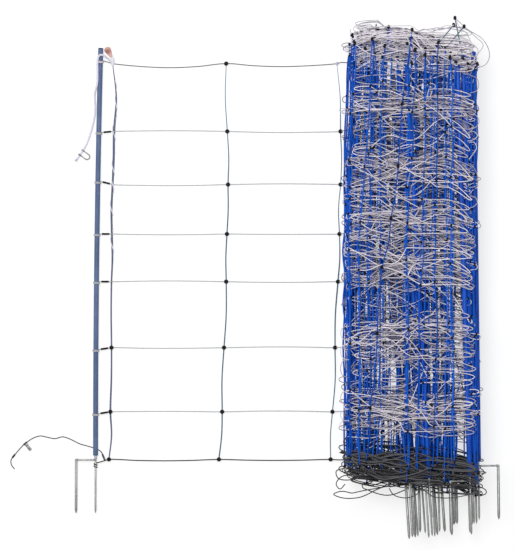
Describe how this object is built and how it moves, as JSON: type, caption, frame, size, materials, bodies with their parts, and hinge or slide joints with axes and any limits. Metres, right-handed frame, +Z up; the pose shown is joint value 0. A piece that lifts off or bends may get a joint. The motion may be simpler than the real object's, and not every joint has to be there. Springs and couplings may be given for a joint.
{
  "type": "electric sheep netting",
  "caption": "Electric sheep netting laid flat: an open field of strands and knotted uprights beside its end post, the rest folded on a bundle of posts with double spikes.",
  "frame": {"origin": "on the floor under the middle of the netting's box, its free rope and lead left out", "axes": "+X from the end post towards the folded bundle, +Y up the posts from spikes to caps, +Z up from the floor"},
  "size_m": [1.3302, 1.3844, 0.148],
  "materials": {
    "end_post_plastic": "dull blue extruded plastic, lightly scuffed",
    "post_plastic": "bright blue extruded plastic",
    "black_plastic": "black moulded plastic",
    "steel": "galvanised steel rod, dull grey",
    "orange_plastic": "faded orange-red plastic",
    "rope": "white braided rope",
    "shackle_steel": "dull zinc-plated wire",
    "lead_cord": "black insulated lead",
    "clamp_steel": "zinc-plated sheet",
    "polywire": "white plastic twine with metal conductors",
    "base_cord": "black plastic twine",
    "twine": "blue twine with black moulded knots",
    "folded_polywire": "piled white and blue strands",
    "folded_base_cord": "piled black strands"
  },
  "bodies": {
    "root": {"end_post_tube": "end_post_plastic", "end_post_cap": "black_plastic", "end_post_foot": "steel", "upright_1": "twine", "upright_2": "twine", "upright_3": "twine", "strand_1": "base_cord", "strand_2": "polywire", "strand_3": "polywire", "strand_4": "polywire", "strand_5": "polywire", "strand_6": "polywire", "strand_7": "polywire", "strand_8": "polywire", "sleeve_1": "black_plastic", "sleeve_2": "black_plastic", "sleeve_3": "black_plastic", "sleeve_4": "black_plastic", "sleeve_5": "black_plastic", "sleeve_6": "black_plastic", "end_clip": "orange_plastic", "guy_rope": "rope", "guy_shackle": "shackle_steel", "earth_lead": "lead_cord", "lead_clamp": "clamp_steel", "lead_sleeve": "black_plastic", "post_01": "post_plastic", "foot_01": "steel", "post_02": "post_plastic", "foot_02": "steel", "post_03": "post_plastic", "foot_03": "steel", "post_04": "post_plastic", "foot_04": "steel", "post_05": "post_plastic", "foot_05": "steel", "post_06": "post_plastic", "foot_06": "steel", "post_07": "post_plastic", "foot_07": "steel", "post_08": "post_plastic", "foot_08": "steel", "post_09": "post_plastic", "foot_09": "steel", "post_10": "post_plastic", "foot_10": "steel", "post_11": "post_plastic", "foot_11": "steel", "post_12": "post_plastic", "foot_12": "steel", "post_13": "post_plastic", "foot_13": "steel", "folded_net_1": "folded_base_cord", "folded_net_2": "folded_polywire", "folded_net_3": "folded_polywire", "folded_net_4": "folded_polywire", "folded_net_5": "folded_polywire", "folded_net_6": "folded_polywire", "folded_net_7": "folded_polywire", "folded_net_8": "folded_polywire"}
  },
  "joints": []
}
